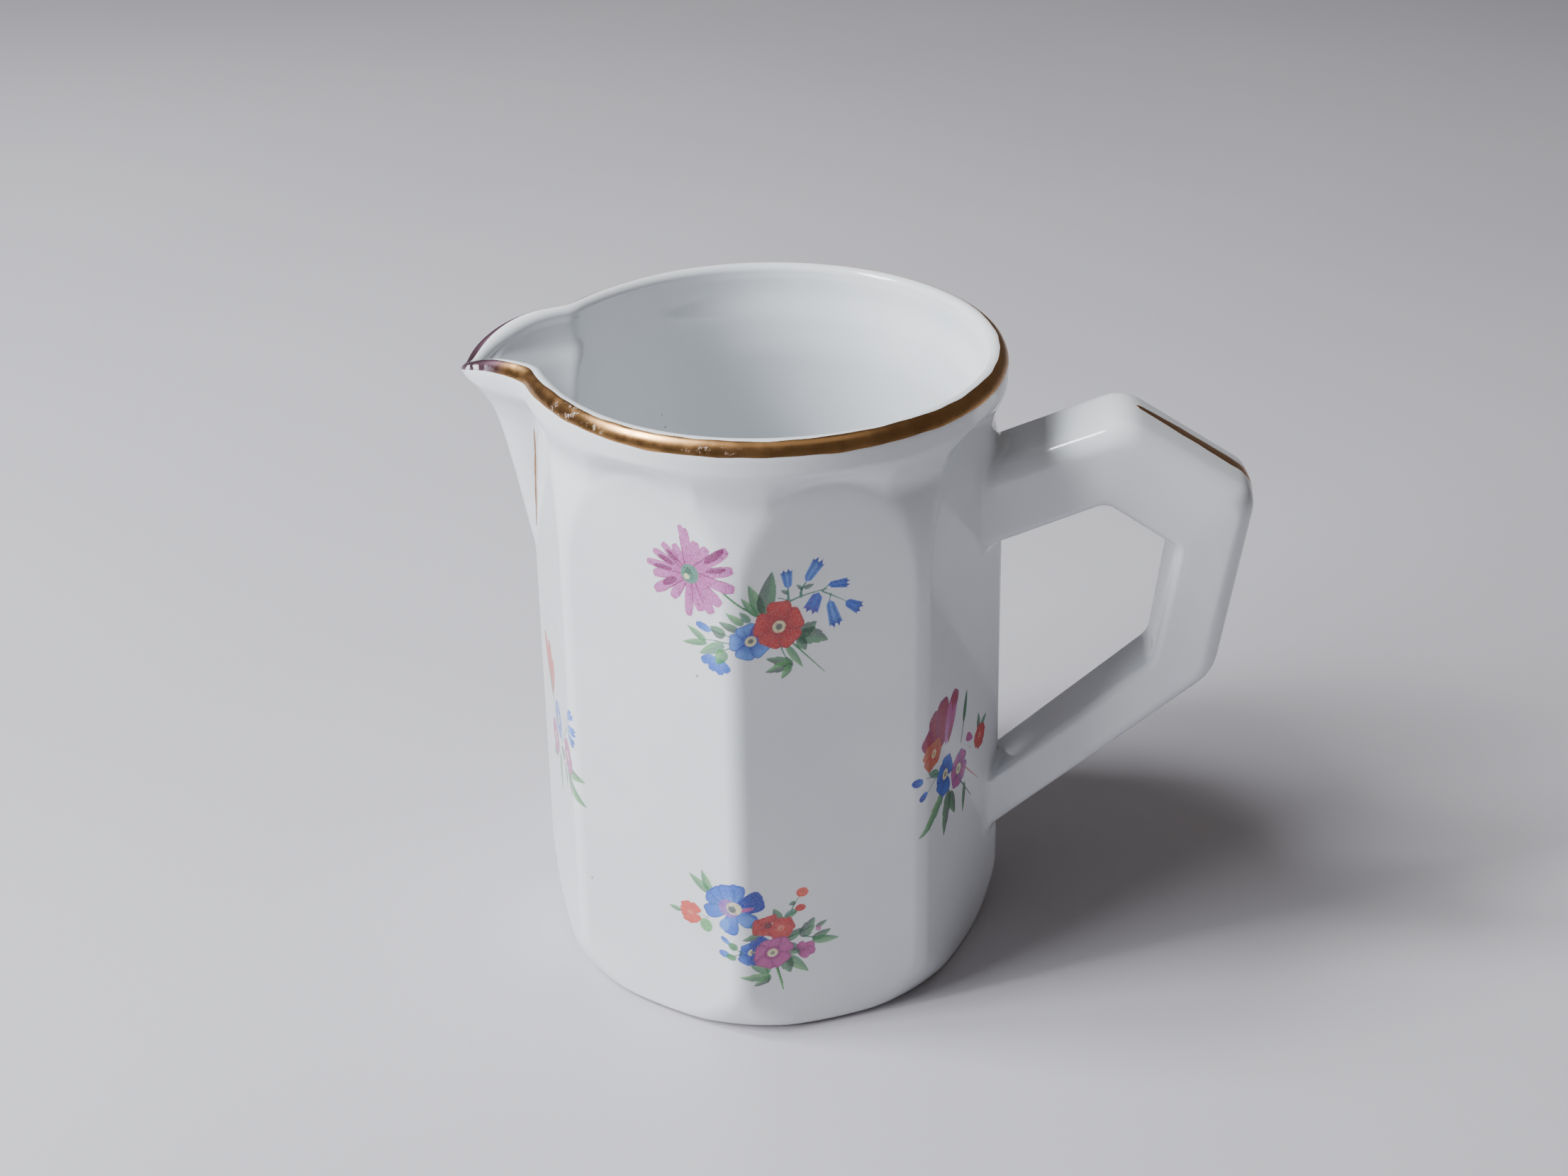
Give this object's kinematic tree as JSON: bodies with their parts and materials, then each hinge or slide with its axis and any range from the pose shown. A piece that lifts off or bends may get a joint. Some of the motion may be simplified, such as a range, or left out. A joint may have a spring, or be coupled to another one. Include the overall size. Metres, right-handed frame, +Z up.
{
  "type": "cream jug",
  "caption": "Small faceted porcelain cream jug with a round gilt rim, a pulled pouring beak, an angular loop handle and printed flower sprays.",
  "frame": {"origin": "on the table plane under the middle of the whole jug's bounding box; the body's own axis stands 13.83 mm from it towards the beak", "axes": "+Z up, +X towards the handle, -X towards the beak, -Y towards the painted front"},
  "size_m": [0.1176, 0.0768, 0.1003],
  "materials": {
    "glazed_porcelain": "glossy clear glaze over white porcelain",
    "gold_lustre": "worn burnished gold film",
    "enamel_print": "glossy printed enamel flowers"
  },
  "bodies": {
    "root": {"jug_body": "glazed_porcelain", "handle": "glazed_porcelain", "upper_slip_joint": "glazed_porcelain", "lower_slip_joint": "glazed_porcelain", "rim_gilding": "gold_lustre", "handle_gilding": "gold_lustre", "spout_gilding_front": "gold_lustre", "spout_gilding_back": "gold_lustre", "front_upper_spray": "enamel_print", "front_lower_spray": "enamel_print", "front_handle_side_spray": "enamel_print", "front_spout_side_spray": "enamel_print", "back_upper_spray": "enamel_print", "back_lower_spray": "enamel_print", "back_handle_side_spray": "enamel_print", "back_spout_side_spray": "enamel_print"}
  },
  "joints": []
}
